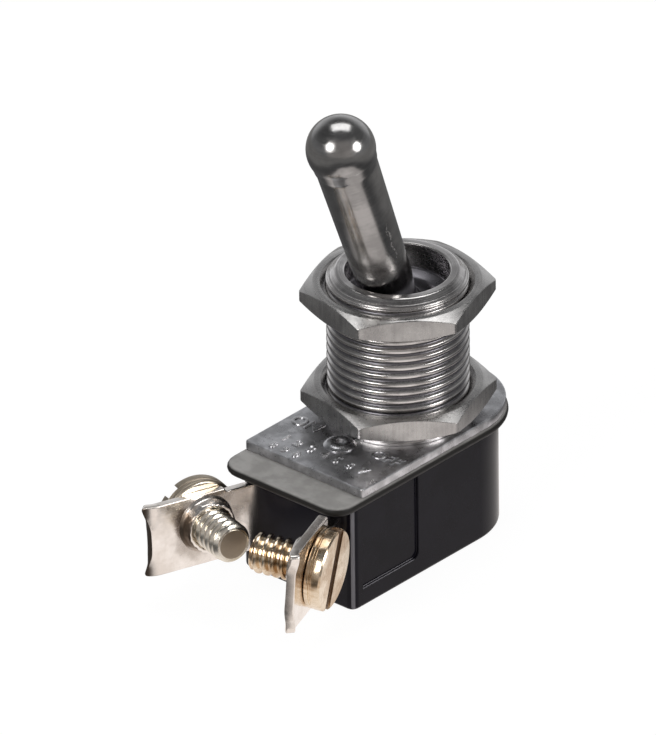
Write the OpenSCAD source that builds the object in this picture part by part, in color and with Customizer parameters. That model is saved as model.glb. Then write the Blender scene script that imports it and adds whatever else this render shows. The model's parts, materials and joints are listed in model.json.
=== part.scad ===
// Panel toggle switch with a bat lever, two panel nuts and two screw terminals.
// Millimetres. The origin is on the bushing axis, in the top face of the lower
// nut, where a panel seats. +Z runs out along the bushing, and the terminals
// face -Y. The lever rests tilted towards the terminals.

/* [Housing] */
// Width of the moulded housing
housing_w = 12.3; // [11.6:0.1:15]
// Height of the moulded housing
housing_h = 9.75; // [9.4:0.05:12]
// Distance from the bushing axis to the terminal end of the housing
housing_front = 12.8; // [12.4:0.1:16]
// Distance from the bushing axis to the centre of the housing's round end
housing_round_y = 3.2; // [2.8:0.1:5]
// Side and end walls of the housing
housing_wall = 1.1; // [0.8:0.05:1.3]
// Floor of the housing
housing_floor = 1.4; // [1:0.05:1.8]
// Radius of the housing's upright corners at the terminal end
housing_corner_r = 0.6; // [0.3:0.1:1]
// Depth of the sunk panel on each side
panel_depth = 0.25; // [0.1:0.05:0.4]
// Length of the sunk panel
panel_len = 6.9; // [4:0.1:8]
// Distance from the housing's end to the sunk panel
panel_inset = 1.3; // [0.8:0.1:2]
// Distance from the housing's underside to the sunk panel
panel_lift = 1.8; // [1:0.1:3]
// Radius of the sunk panel's lower inner corner
panel_corner_r = 0.6; // [0.2:0.1:1]

/* [Plates] */
// Width of the insulator plate
insulator_w = 13.4; // [12.8:0.1:16]
// Thickness of the insulator plate
insulator_t = 0.8; // [0.6:0.05:1.2]
// Distance from the bushing axis to the insulator's terminal end
insulator_front = 15.1; // [14:0.1:18]
// Radius of the insulator's corners at the terminal end
insulator_corner_r = 1.7; // [0.5:0.1:3]
// Width of the steel frame plate
frame_w = 13.0; // [12.4:0.1:15]
// Thickness of the steel frame plate
frame_t = 0.85; // [0.6:0.05:1.2]
// Distance from the bushing axis to the frame plate's terminal end
frame_front = 11.9; // [10:0.1:13]
// Distance from the bushing axis to the centre of both plates' round end
plate_round_y = 3.65; // [3:0.1:5]
// Distance of each rivet from the bushing axis
rivet_y = 7.35; // [7.2:0.05:8]
// Radius of the rivet shanks
rivet_r = 0.95; // [0.7:0.05:1.1]
// Radius of the rivet heads
rivet_head_r = 1.35; // [1.2:0.05:1.5]
// Height of the rivet heads
rivet_head_h = 0.35; // [0.2:0.05:0.5]

/* [Bushing and nuts] */
// Outside radius of the bushing's thread
bushing_r = 5.95; // [5.9:0.01:6.2]
// Pitch of the bushing's thread
bushing_pitch = 0.794; // [0.7:0.001:0.9]
// Height of the bushing above the panel seat
bushing_top = 10.5; // [10.4:0.1:13]
// Radius of the bushing's mouth
mouth_r = 4.35; // [4.3:0.01:4.6]
// Radius of the neck that is staked into the frame plate
neck_r = 5.4; // [5.3:0.02:5.5]
// Radius of the bore at the neck's lower end
neck_bore_r = 4.95; // [4.85:0.01:5]
// Radius of the staked rim below the frame plate
stake_r = 5.8; // [5.6:0.02:5.9]
// Height of the staked rim
stake_h = 0.5; // [0.3:0.05:0.6]
// Width of each nut across its flats
nut_af = 14.29; // [14:0.01:16]
// Thickness of each nut
nut_t = 2; // [1.6:0.05:2.2]
// Turn of the nuts about the bushing axis
nut_turn = -12.4; // [-30:0.1:30]
// Gap between the nuts
nut_gap = 7.45; // [6:0.05:7.8]
// Gap between the lower nut and the frame plate
lower_gap = 1.1; // [0.8:0.05:2]

/* [Lever] */
// Height of the lever's pivot above the panel seat
pivot_z = 5.9; // [5.5:0.05:6]
// Tilt of the lever at rest, from upright
lever_tilt = 20; // [16:0.5:20.5]
// Radius of the ball at the pivot
ball_r = 3; // [2.8:0.05:3.1]
// Radius of the ball at the lever's tip
tip_r = 2.95; // [2.5:0.05:3.5]
// Distance from the pivot to the centre of the tip's ball
tip_dist = 19.9; // [15:0.1:26]
// Radius of the shaft just below the tip's ball
shaft_top_r = 2.6; // [2.3:0.05:2.8]
// Radius of the shaft where it enters the bushing
shaft_low_r = 2.35; // [2:0.05:2.35]
// Radius of the tail below the pivot
tail_r = 1.6; // [1.5:0.05:1.65]
// Distance from the pivot to the end of the tail
tail_len = 5.8; // [5:0.1:6]
// Radius of the cross pin
pin_r = 0.6; // [0.4:0.05:0.75]

/* [Contacts] */
// Radius of the plunger's rod and tip
plunger_r = 0.75; // [0.6:0.05:0.8]
// Distance from the lever's pivot to the centre of the plunger's tip
plunger_reach = 13.5; // [13:0.1:13.8]
// Radius of the spring's wire
wire_r = 0.14; // [0.1:0.01:0.18]
// Tilt of the rocker each way from level
rocker_tilt = 7; // [4:0.5:8]
// Distance from the plunger's tip down to the rocker's pivot, with the lever upright
rocker_drop = 2; // [1.9:0.05:2.2]
// Width of the rocker
rocker_w = 3; // [2:0.1:4]
// Thickness of the rocker's saddle
saddle_t = 0.5; // [0.4:0.05:0.6]
// Radius of the silver contacts
contact_r = 0.8; // [0.6:0.05:0.9]
// Height of the silver contacts
contact_h = 0.5; // [0.3:0.05:0.55]

/* [Terminals] */
// Thickness of the terminal strip
strip_t = 0.8; // [0.6:0.05:0.9]
// Gap between each strip and the housing's side wall
strip_gap = 0.15; // [0.1:0.05:0.4]
// Length of each tab beyond its bend
tab_len = 9.4; // [8:0.1:12]
// Height of the left-hand tab
tab_h_left = 6.3; // [6.1:0.05:6.85]
// Height of the right-hand tab
tab_h_right = 7.45; // [6.7:0.05:7.6]
// Rise of the right-hand tab and screw above the left-hand ones
right_rise = 0.3; // [0:0.05:0.4]
// Height of the strip where it leaves the housing
strip_h = 6; // [5:0.1:6.3]
// Height of the strip's lower edge above the housing's underside
strip_lift = 2.7; // [1.9:0.05:2.9]
// Outward splay of each tab
tab_splay = 20; // [10:1:25]
// Lean of each tab, with its upper edge outwards
tab_lean = 4; // [0:0.5:6]
// Distance from the housing to the bend
bend_gap = 0.7; // [0.5:0.05:1]
// Length of the upturned ears on each tab
ear_len = 0.6; // [0.4:0.1:1.5]
// Height of the upturned ears
ear_h = 2; // [1:0.1:2.5]
// Angle of the upturned ears
ear_angle = 40; // [20:1:60]
// Outside radius of the threaded collar
collar_r = 2.15; // [2.1:0.05:2.6]
// Height of the threaded collar
collar_h = 1.2; // [0.8:0.1:1.6]

/* [Terminal screws] */
// Outside radius of the screw thread
screw_r = 1.75; // [1.5:0.01:1.8]
// Pitch of the screw thread
screw_pitch = 0.794; // [0.6:0.001:0.9]
// Length of the screw below its head
screw_len = 5.6; // [5:0.05:6.2]
// Radius of the screw head
screw_head_r = 3.5; // [3:0.05:3.6]
// Thickness of the screw head
screw_head_h = 1.5; // [1.2:0.05:1.8]
// Width of the screwdriver slot
slot_w = 1.15; // [0.8:0.05:1.4]
// Depth of the screwdriver slot
slot_d = 0.8; // [0.5:0.05:1]
// Turn of the right-hand screw's slot from upright
slot_turn_right = -20; // [-90:1:90]
// Turn of the left-hand screw's slot from upright
slot_turn_left = 38; // [-90:1:90]
// Distance along the tab from its bend to the screw
screw_y = 4.4; // [4.2:0.05:4.7]
// Height of the screw above the tab's lower edge
screw_z = 3.6; // [3.3:0.05:4.3]

/* [Clearances] */
// Running clearance of pins, shanks, threads and the pivot ball
run_fit = 0.05; // [0.03:0.01:0.08]
// Clearance between moving parts that don't bear on each other
free_gap = 0.1; // [0.05:0.01:0.15]

/* [Hidden] */

fine = 96;
coarse = 48;
cut = 1; // how far a cutting solid runs past the face that it cuts

// Heights, from the panel seat down.
frame_top_z = -nut_t - lower_gap;
insulator_top_z = frame_top_z - frame_t;
housing_top_z = insulator_top_z - insulator_t;
base_z = housing_top_z - housing_h;
floor_z = base_z + housing_floor;
foot_sink = 0.6; // depth of the counterbores for the rivets' feet
foot_z = base_z + 0.1;

// Nuts and thread.
nut_upper_z = nut_gap;
nut_corner_r = nut_af / 2 / cos(30);
nut_chamfer = 25;
nut_face_r = nut_af / 2 * 0.985;
nut_relief = 0.45;
groove_depth = 0.6134 * bushing_pitch;
land_top = bushing_top - 0.3;
land_low = nut_gap + nut_t + 0.1;
groove_count = floor((land_low - frame_top_z - 0.6) / bushing_pitch);

// Hourglass bore: heights above the pivot and radii.
throat_h = 1.25;
throat_r = ball_r - 0.15;
mouth_h = bushing_top - pivot_z;
seat_h = 0.3;
socket_r = ball_r + run_fit;
socket_low_h = -0.5;
neck_bore_h = insulator_top_z - stake_h - pivot_z;

// Lever and plunger, along the lever's own axis from the pivot.
waist_h = 2.1;
waist_r = sqrt(pow(ball_r, 2) - pow(waist_h, 2));
shaft_low_h = mouth_h;
tip_neck_h = tip_dist - sqrt(pow(tip_r, 2) - pow(shaft_top_r, 2));
lip_t = 0.4;
lip_r = plunger_r + run_fit;
spring_bore_r = tail_r - 0.45;
spring_bore_top = -0.8;
plunger_head_r = spring_bore_r - run_fit;
plunger_head_t = 0.9;
plunger_head_low = -(tail_len - lip_t - 0.2);
plunger_head_top = plunger_head_low + plunger_head_t;
spring_r = spring_bore_r - wire_r - free_gap;
spring_turns = 5;
spring_steps = 14;
spring_sides = 6;
pin_seat_r = bushing_r - groove_depth - 0.7;
pin_len = 2 * (pin_seat_r - run_fit);

// Rocker. The plunger's tip runs close to a circle in the rocker's own frame,
// so the saddle is an arc about that circle's centre.
tip_mid_z = rocker_drop;
rocker_z = pivot_z - plunger_reach - tip_mid_z;
tip_end_y = plunger_reach * sin(lever_tilt);
tip_end_z = pivot_z - plunger_reach * cos(lever_tilt) - rocker_z;
path_y = tip_end_y * cos(rocker_tilt) - tip_end_z * sin(rocker_tilt);
path_z = tip_end_y * sin(rocker_tilt) + tip_end_z * cos(rocker_tilt);
path_rise = path_z - tip_mid_z;
path_r = (pow(path_y, 2) + pow(path_rise, 2)) / (2 * path_rise);
saddle_r = path_r + plunger_r + free_gap;
saddle_centre_z = tip_mid_z + path_r;
saddle_low_z = saddle_centre_z - saddle_r - saddle_t;
saddle_half = path_y + 0.55;
blade_t = 0.45;
blade_end = 5.1;
contact_y = 4.2;
pivot_edge_r = 0.35;
rocker_groove_r = pivot_edge_r + run_fit;
blade_low_z = saddle_low_z - blade_t + 0.05;

// Terminals.
inner_w = housing_w - 2 * housing_wall;
strip_x = inner_w / 2 - strip_gap - strip_t / 2;
neck_len = 2.6; // length of the tab's neck, which is as high as the strip
strip_low_z = base_z + strip_lift;
strip_top_z = strip_low_z + strip_h;
tab_mid_z = strip_low_z + (tab_h_left + tab_h_right) / 4;
bend_y = housing_front + bend_gap;
screw_hole_r = screw_r + run_fit;
screw_axis_z = strip_low_z + screw_z;
screw_tip_r = screw_r - 0.35;
screw_groove = 0.6134 * screw_pitch;
fixed_top_z = rocker_z + blade_low_z - contact_h - free_gap;
shelf_t = 0.7;
shelf_top_z = fixed_top_z - contact_h;
shelf_y0 = contact_y - 1.2;
shelf_y1 = contact_y + 1.2;
rib_x = -strip_x + strip_t / 2 + run_fit;
cradle_w = rocker_w - 0.4;
cradle_t = 2 * pivot_edge_r;
foot_t = 0.8;
foot_y = 1.5;
pillar_r = rivet_head_r + 0.25;

module d_shape(w, front, round_y, corner_r) {
    translate([0, round_y]) circle(d = w, $fn = fine);
    translate([-w / 2, corner_r - front]) square([w, front + round_y - corner_r]);
    translate([corner_r - w / 2, -front]) square([w - 2 * corner_r, 2 * corner_r]);
    for (s = [-1, 1])
        translate([s * (w / 2 - corner_r), corner_r - front]) circle(r = corner_r, $fn = coarse);
}

// A shaft along +Z with ring grooves of a 60 degree thread's form below its top land.
module grooved_profile(r, pitch, depth, top, count) {
    crest = pitch / 8;
    root = pitch / 4;
    flank = (pitch - crest - root) / 2;
    for (i = [0 : count - 1])
        translate([0, top - i * pitch])
            polygon([[r + cut, -crest / 2], [r, -crest / 2], [r - depth, -crest / 2 - flank],
                     [r - depth, -crest / 2 - flank - root], [r, -crest / 2 - 2 * flank - root],
                     [r + cut, -crest / 2 - 2 * flank - root]]);
}

module strip_slot(side) {
    translate([side * strip_x - strip_t / 2 - run_fit, -housing_front - cut, strip_low_z - run_fit])
        cube([strip_t + 2 * run_fit, housing_wall + 2 * cut, strip_h + 2 * run_fit]);
}

module sunk_panel(side) {
    low = base_z + panel_lift;
    y0 = -housing_front + panel_inset;
    translate([side * housing_w / 2 - panel_depth, 0, 0]) {
        translate([0, y0, low + panel_corner_r])
            cube([2 * panel_depth, panel_len, housing_top_z - low - panel_corner_r + cut]);
        translate([0, y0, low])
            cube([2 * panel_depth, panel_len - panel_corner_r, 2 * panel_corner_r]);
        translate([0, y0 + panel_len - panel_corner_r, low + panel_corner_r])
            rotate([0, 90, 0])
                cylinder(r = panel_corner_r, h = 2 * panel_depth, $fn = coarse);
    }
}

module housing() {
    color([0.09, 0.08, 0.09])
    difference() {
        union() {
            difference() {
                translate([0, 0, base_z])
                    linear_extrude(housing_h)
                        d_shape(housing_w, housing_front, housing_round_y, housing_corner_r);
                translate([0, 0, floor_z])
                    linear_extrude(housing_h)
                        d_shape(inner_w, housing_front - housing_wall, housing_round_y, 0.3);
            }
            // Pillars round the rivets.
            intersection() {
                for (s = [-1, 1])
                    translate([0, s * rivet_y, base_z + housing_floor / 2])
                        cylinder(r = pillar_r, h = housing_h - housing_floor / 2, $fn = coarse);
                translate([0, 0, base_z])
                    linear_extrude(housing_h)
                        d_shape(housing_w, housing_front, housing_round_y, housing_corner_r);
            }
            // Rib under the fixed contact's shelf.
            translate([rib_x, -shelf_y1, floor_z - housing_floor / 2])
                cube([contact_r - rib_x, shelf_y1 - shelf_y0,
                      shelf_top_z - shelf_t - floor_z + housing_floor / 2]);
        }
        for (s = [-1, 1]) {
            strip_slot(s);
            sunk_panel(s);
            translate([0, s * rivet_y, base_z - cut]) {
                cylinder(r = rivet_r + run_fit, h = housing_h + 2 * cut, $fn = coarse);
                cylinder(r = rivet_head_r + free_gap, h = foot_sink + cut, $fn = coarse);
            }
        }
    }
}

module plate(w, t, front, corner_r, low_z, hole_r) {
    difference() {
        translate([0, 0, low_z])
            linear_extrude(t) d_shape(w, front, plate_round_y, corner_r);
        translate([0, 0, low_z - cut]) cylinder(r = hole_r, h = t + 2 * cut, $fn = fine);
        for (s = [-1, 1])
            translate([0, s * rivet_y, low_z - cut])
                cylinder(r = rivet_r + run_fit, h = t + 2 * cut, $fn = coarse);
    }
}

module insulator_plate() {
    color([0.33, 0.32, 0.30])
        plate(insulator_w, insulator_t, insulator_front, insulator_corner_r,
              housing_top_z, stake_r + run_fit);
}

module frame_plate() {
    color([0.24, 0.24, 0.25])
        plate(frame_w, frame_t, frame_front, 0.15, insulator_top_z, neck_r + run_fit / 2);
}

// A rivet with a hollow at each end, rolled over in a counterbore in the housing's underside.
module rivet(y) {
    color([0.35, 0.35, 0.35])
    translate([0, y, 0])
        rotate_extrude($fn = coarse)
            difference() {
                union() {
                    translate([0, foot_z]) square([rivet_r, frame_top_z - foot_z + 0.02]);
                    translate([0, frame_top_z]) square([rivet_head_r, rivet_head_h]);
                    translate([0, foot_z]) square([rivet_head_r, base_z + foot_sink - foot_z]);
                }
                translate([-cut, frame_top_z - 0.4]) square([cut + rivet_r * 0.55, cut + 0.4]);
                translate([-cut, foot_z - cut]) square([cut + rivet_r * 0.55, cut + 0.4]);
            }
}

module rivet_front() {
    rivet(-rivet_y);
}

module rivet_rear() {
    rivet(rivet_y);
}

module bushing() {
    color([0.42, 0.41, 0.40])
    difference() {
        rotate_extrude($fn = fine)
            difference() {
                polygon([[0, insulator_top_z - stake_h],
                         [stake_r - 0.2, insulator_top_z - stake_h],
                         [stake_r, insulator_top_z - stake_h + 0.2], [stake_r, insulator_top_z],
                         [neck_r, insulator_top_z], [neck_r, frame_top_z],
                         [bushing_r, frame_top_z], [bushing_r, land_top],
                         [bushing_r - 0.75, bushing_top], [0, bushing_top]]);
                grooved_profile(bushing_r, bushing_pitch, groove_depth, land_low, groove_count);
                // Hourglass bore round the pivot.
                translate([0, pivot_z])
                    polygon([[0, neck_bore_h - cut], [neck_bore_r, neck_bore_h - cut],
                             [neck_bore_r, neck_bore_h], [socket_r, socket_low_h],
                             [socket_r, seat_h], [throat_r, throat_h],
                             [mouth_r, mouth_h - 0.5], [mouth_r, mouth_h],
                             [mouth_r + 0.15, mouth_h + 0.1], [0, mouth_h + cut]]);
            }
        // Slots that let the cross pin up to the pivot from below.
        translate([-pin_seat_r, 0, pivot_z])
            rotate([0, 90, 0]) cylinder(r = pin_r + run_fit, h = 2 * pin_seat_r, $fn = coarse);
        translate([-pin_seat_r, -pin_r - run_fit, insulator_top_z - stake_h - cut])
            cube([2 * pin_seat_r, 2 * (pin_r + run_fit), pivot_z - insulator_top_z + stake_h + cut]);
    }
}

module pivot_pin() {
    color([0.7, 0.7, 0.7])
    translate([-pin_len / 2, 0, pivot_z])
        rotate([0, 90, 0]) cylinder(r = pin_r, h = pin_len, $fn = coarse);
}

// Puts pieces drawn along +Z about the pivot into the lever's rest pose.
module at_lever() {
    translate([0, 0, pivot_z]) rotate([lever_tilt, 0, 0]) children();
}

module lever() {
    color([0.40, 0.39, 0.39])
    at_lever()
        difference() {
            rotate_extrude($fn = fine)
                intersection() {
                    union() {
                        circle(r = ball_r, $fn = fine);
                        translate([0, tip_dist]) circle(r = tip_r, $fn = fine);
                        polygon([[0, -tail_len], [tail_r, -tail_len], [tail_r, 0],
                                 [waist_r, waist_h], [shaft_low_r, shaft_low_h],
                                 [shaft_top_r, tip_neck_h], [0, tip_dist]]);
                    }
                    translate([0, -tail_len]) square([2 * tip_r, tip_dist + tip_r + tail_len]);
                }
            translate([0, 0, -tail_len + lip_t])
                cylinder(r = spring_bore_r, h = tail_len - lip_t + spring_bore_top, $fn = coarse);
            translate([0, 0, -tail_len - cut])
                cylinder(r = lip_r, h = lip_t + 2 * cut, $fn = coarse);
            rotate([0, 90, 0])
                cylinder(r = pin_r + run_fit, h = 3 * ball_r, center = true, $fn = coarse);
        }
}

// A coiled spring swept along a helix inside the lever's tail.
module lever_spring() {
    low = plunger_head_top + wire_r + 0.02;
    rise = spring_bore_top - wire_r - 0.02 - low;
    rings = spring_turns * spring_steps;
    points = [for (i = [0 : rings], j = [0 : spring_sides - 1])
        let (a = 360 * i / spring_steps, b = 360 * j / spring_sides,
             r = spring_r + wire_r * cos(b))
        [r * cos(a), r * sin(a), low + rise * i / rings + wire_r * sin(b)]];
    walls = [for (i = [0 : rings - 1], j = [0 : spring_sides - 1])
        let (k = (j + 1) % spring_sides, n = spring_sides)
        [i * n + j, i * n + k, (i + 1) * n + k, (i + 1) * n + j]];
    start = [[for (j = [spring_sides - 1 : -1 : 0]) j]];
    end = [[for (j = [0 : spring_sides - 1]) rings * spring_sides + j]];
    color([0.75, 0.75, 0.75])
        at_lever() polyhedron(points, concat(walls, start, end), convexity = 8);
}

module plunger() {
    color([0.80, 0.66, 0.36])
    at_lever()
        rotate_extrude($fn = coarse)
            intersection() {
                union() {
                    translate([0, plunger_head_low]) square([plunger_head_r, plunger_head_t]);
                    translate([0, -plunger_reach])
                        square([plunger_r, plunger_reach + plunger_head_top]);
                    translate([0, -plunger_reach]) circle(r = plunger_r, $fn = coarse);
                }
                translate([0, -plunger_reach - plunger_r])
                    square([2 * plunger_head_r, plunger_reach]);
            }
}

// Puts pieces drawn about the rocker's own level pivot into their rest pose.
module at_rocker() {
    translate([0, 0, rocker_z]) rotate([-rocker_tilt, 0, 0]) children();
}

// The blade lies level when the rocker closes the contacts.
module at_blade() {
    rotate([-rocker_tilt, 0, 0]) children();
}

module rocker() {
    color([0.72, 0.50, 0.28])
    at_rocker()
        difference() {
            union() {
                intersection() {
                    translate([-rocker_w / 2, 0, saddle_centre_z])
                        rotate([0, 90, 0])
                            difference() {
                                cylinder(r = saddle_r + saddle_t, h = rocker_w, $fn = fine);
                                translate([0, 0, -cut])
                                    cylinder(r = saddle_r, h = rocker_w + 2 * cut, $fn = fine);
                            }
                    translate([-rocker_w, -saddle_half, saddle_low_z - cut])
                        cube([2 * rocker_w, 2 * saddle_half, saddle_centre_z - saddle_low_z]);
                }
                at_blade()
                    translate([-rocker_w / 2, -blade_end, blade_low_z])
                        cube([rocker_w, blade_end + 1, blade_t]);
            }
            rotate([0, 90, 0])
                cylinder(r = rocker_groove_r, h = 2 * rocker_w, center = true, $fn = coarse);
        }
}

module moving_contact() {
    color([0.86, 0.86, 0.88])
    at_rocker() at_blade()
        translate([0, -contact_y, blade_low_z - contact_h])
            cylinder(r = contact_r, h = contact_h, $fn = coarse);
}

// Knife-edge bracket that carries the rocker on the right terminal's foot.
module cradle() {
    color([0.78, 0.62, 0.34])
    translate([-cradle_w / 2, 0, 0]) {
        translate([0, -pivot_edge_r, floor_z + foot_t])
            cube([cradle_w, cradle_t, rocker_z - floor_z - foot_t]);
        translate([0, 0, rocker_z])
            rotate([0, 90, 0]) cylinder(r = pivot_edge_r, h = cradle_w, $fn = coarse);
        translate([0, -foot_y, floor_z + foot_t]) cube([cradle_w, 2 * foot_y, 0.5]);
    }
}

module fixed_contact() {
    color([0.86, 0.86, 0.88])
    translate([0, -contact_y, shelf_top_z])
        cylinder(r = contact_r, h = contact_h, $fn = coarse);
}

// Outer part of the right-hand terminal: strip, bend, splayed tab, ears and collar.
module outer_terminal(tab_h, rise) {
    translate([strip_x - strip_t / 2, -bend_y, strip_low_z])
        cube([strip_t, bend_y - housing_front + housing_wall + 0.5, strip_h]);
    translate([strip_x, -bend_y, 0]) {
        translate([0, 0, strip_low_z + 0.1])
            cylinder(d = strip_t, h = strip_h - 0.2, $fn = coarse);
        at_tab()
            difference() {
                union() {
                    translate([-strip_t / 2, -tab_len, strip_low_z + rise])
                        cube([strip_t, tab_len - neck_len + 0.3, tab_h]);
                    translate([-strip_t / 2, -neck_len, strip_low_z])
                        cube([strip_t, neck_len, strip_h]);
                    for (lift = [0, tab_h - ear_h])
                        translate([-strip_t / 2, -tab_len, strip_low_z + rise + lift])
                            rotate([0, 0, ear_angle])
                                translate([0, -ear_len, 0]) cube([strip_t, ear_len + 0.3, ear_h]);
                    translate([-strip_t / 2 - collar_h, -screw_y, screw_axis_z + rise])
                        rotate([0, 90, 0]) cylinder(r = collar_r, h = collar_h + 0.1, $fn = coarse);
                }
                translate([-strip_t - collar_h, -screw_y, screw_axis_z + rise])
                    rotate([0, 90, 0])
                        cylinder(r = screw_hole_r, h = 2 * strip_t + collar_h, $fn = coarse);
            }
    }
}

// Turns a piece about the bend by the tab's splay, and leans it about the tab's own length.
module at_tab() {
    rotate([0, 0, tab_splay])
        translate([0, 0, tab_mid_z])
            rotate([0, tab_lean, 0])
                translate([0, 0, -tab_mid_z]) children();
}

module terminal_left() {
    color([0.80, 0.76, 0.70]) {
        mirror([1, 0, 0]) outer_terminal(tab_h_left, 0);
        translate([-strip_x - strip_t / 2, -housing_front + housing_wall, strip_low_z])
            cube([strip_t, housing_front - housing_wall - shelf_y0, strip_h]);
        translate([-strip_x - strip_t / 2, -shelf_y1, shelf_top_z - shelf_t]) {
            cube([strip_x + strip_t / 2 + contact_r, shelf_y1 - shelf_y0, shelf_t]);
            cube([strip_t, shelf_y1 - shelf_y0, strip_top_z - shelf_top_z + shelf_t]);
        }
    }
}

module terminal_right() {
    color([0.80, 0.76, 0.70]) {
        outer_terminal(tab_h_right, right_rise);
        translate([strip_x - strip_t / 2, -housing_front + housing_wall, strip_low_z])
            cube([strip_t, housing_front - housing_wall + foot_y, strip_h]);
        translate([-cradle_w / 2, -foot_y, floor_z])
            cube([cradle_w / 2 + strip_x + strip_t / 2, 2 * foot_y, foot_t]);
        translate([strip_x - strip_t / 2, -foot_y, floor_z])
            cube([strip_t, 2 * foot_y, strip_low_z - floor_z + 0.1]);
    }
}

// A slotted screw along +X: the head's underside is at x = 0 and the shank at x < 0.
module screw_body(slot_turn) {
    grooves = floor((screw_len - 1) / screw_pitch);
    rotate([0, 90, 0])
        difference() {
            rotate_extrude($fn = coarse)
                difference() {
                    polygon([[0, -screw_len], [screw_tip_r, -screw_len],
                             [screw_r, -screw_len + 0.35], [screw_r, 0], [screw_head_r - 0.25, 0],
                             [screw_head_r, 0.3], [screw_head_r, screw_head_h - 0.4],
                             [screw_head_r - 0.25, screw_head_h - 0.12],
                             [screw_head_r - 0.7, screw_head_h], [0, screw_head_h]]);
                    grooved_profile(screw_r, screw_pitch, screw_groove, -0.5, grooves);
                }
            rotate([0, 0, slot_turn])
                translate([-screw_head_r - cut, -slot_w / 2, screw_head_h - slot_d])
                    cube([2 * screw_head_r + 2 * cut, slot_w, slot_d + cut]);
        }
}

module placed_screw(slot_turn, rise) {
    translate([strip_x, -bend_y, 0])
        at_tab()
            translate([strip_t / 2 + 0.02, -screw_y, screw_axis_z + rise])
                screw_body(slot_turn);
}

module screw_left() {
    color([0.74, 0.60, 0.36]) mirror([1, 0, 0]) placed_screw(slot_turn_left, 0);
}

module screw_right() {
    color([0.74, 0.60, 0.36]) placed_screw(slot_turn_right, right_rise);
}

// A hexagon nut with its underside at z = 0, chamfered on both faces.
module nut() {
    difference() {
        intersection() {
            rotate([0, 0, nut_turn])
                cylinder(r = nut_corner_r, h = nut_t, $fn = 6);
            rotate_extrude($fn = fine) {
                drop = (nut_corner_r - nut_face_r) * tan(nut_chamfer);
                polygon([[0, 0], [nut_face_r, 0], [nut_corner_r + 0.2, drop + 0.2 * tan(nut_chamfer)],
                         [nut_corner_r + 0.2, nut_t - drop - 0.2 * tan(nut_chamfer)],
                         [nut_face_r, nut_t], [0, nut_t]]);
            }
        }
        rotate_extrude($fn = fine)
            polygon([[0, -cut], [bushing_r + run_fit + nut_relief + cut, -cut],
                     [bushing_r + run_fit, nut_relief], [bushing_r + run_fit, nut_t - nut_relief],
                     [bushing_r + run_fit + nut_relief + cut, nut_t + cut], [0, nut_t + cut]]);
    }
}

module nut_lower() {
    color([0.45, 0.44, 0.43]) translate([0, 0, -nut_t]) nut();
}

module nut_upper() {
    color([0.45, 0.44, 0.43]) translate([0, 0, nut_upper_z]) nut();
}

housing();
insulator_plate();
frame_plate();
rivet_front();
rivet_rear();
bushing();
pivot_pin();
lever();
lever_spring();
plunger();
rocker();
moving_contact();
cradle();
fixed_contact();
terminal_left();
terminal_right();
screw_left();
screw_right();
nut_lower();
nut_upper();
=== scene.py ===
# %% [markdown]
# # A panel toggle switch
# A small lever switch: a bat lever turns in a threaded bushing, two nuts grip a panel,
# and two screw terminals stand out of a moulded housing. The solids come from the CAD
# model in one shared frame. Here every visible piece is dressed with rounded edges, a
# true thread and a finish of its own, and then it rides on its CAD body.

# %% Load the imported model
import json
from math import atan2, cos, hypot, pi, radians, sin, tan

import bmesh
import bpy
import numpy as np
from mathutils import Matrix, Vector

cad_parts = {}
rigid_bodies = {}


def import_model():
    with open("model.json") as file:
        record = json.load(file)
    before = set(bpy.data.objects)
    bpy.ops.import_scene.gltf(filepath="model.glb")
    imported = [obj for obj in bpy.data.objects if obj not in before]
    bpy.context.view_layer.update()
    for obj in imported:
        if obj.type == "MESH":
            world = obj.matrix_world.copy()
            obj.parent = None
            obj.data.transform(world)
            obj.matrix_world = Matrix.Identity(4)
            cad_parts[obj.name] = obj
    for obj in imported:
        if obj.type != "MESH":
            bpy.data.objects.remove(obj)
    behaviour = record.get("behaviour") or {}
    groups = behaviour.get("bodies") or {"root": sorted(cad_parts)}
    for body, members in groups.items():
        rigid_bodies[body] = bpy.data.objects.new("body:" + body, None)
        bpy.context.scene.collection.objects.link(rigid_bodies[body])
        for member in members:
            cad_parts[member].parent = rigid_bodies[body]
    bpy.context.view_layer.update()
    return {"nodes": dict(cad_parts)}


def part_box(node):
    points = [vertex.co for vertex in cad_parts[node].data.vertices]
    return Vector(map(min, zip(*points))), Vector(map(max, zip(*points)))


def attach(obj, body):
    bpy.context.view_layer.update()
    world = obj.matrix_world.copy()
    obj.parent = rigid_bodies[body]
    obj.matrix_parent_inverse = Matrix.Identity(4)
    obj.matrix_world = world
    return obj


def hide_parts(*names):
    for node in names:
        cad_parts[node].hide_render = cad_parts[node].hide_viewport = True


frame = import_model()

# %% [markdown]
# The sizes below are millimetres, as on a maker's drawing, and a mesh is scaled to metres
# when it is made. Heights and outlines are read from the CAD nodes' own boxes, so the
# dressed pieces stay on the solids when the CAD changes.

# %% Read the heights from the CAD nodes
MM, MICRON = 0.001, 1e-6


def node_box(node):
    low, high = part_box(node)
    return low / MM, high / MM


housing_low, housing_high = node_box("housing")
insulator_low, insulator_high = node_box("insulator_plate")
plate_low, plate_high = node_box("frame_plate")
bushing_low, bushing_high = node_box("bushing")
BASE_Z = housing_low.z
HOUSING_TOP = housing_high.z
PLATE_TOP = plate_high.z
BUSHING_TOP = bushing_high.z
print("height of the body:", round(PLATE_TOP - BASE_Z, 2), "mm")

# %% [markdown]
# ## Mesh helpers
# Turned, moulded and punched pieces are all stacks of rings: rows of points with the same
# count, skinned with quads. A lathe profile gives round rings, and an outline that is
# drawn in by a little at each level gives a plate with rounded edges. It is plain mesh
# code, because each edge radius can then be set by hand.

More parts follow.
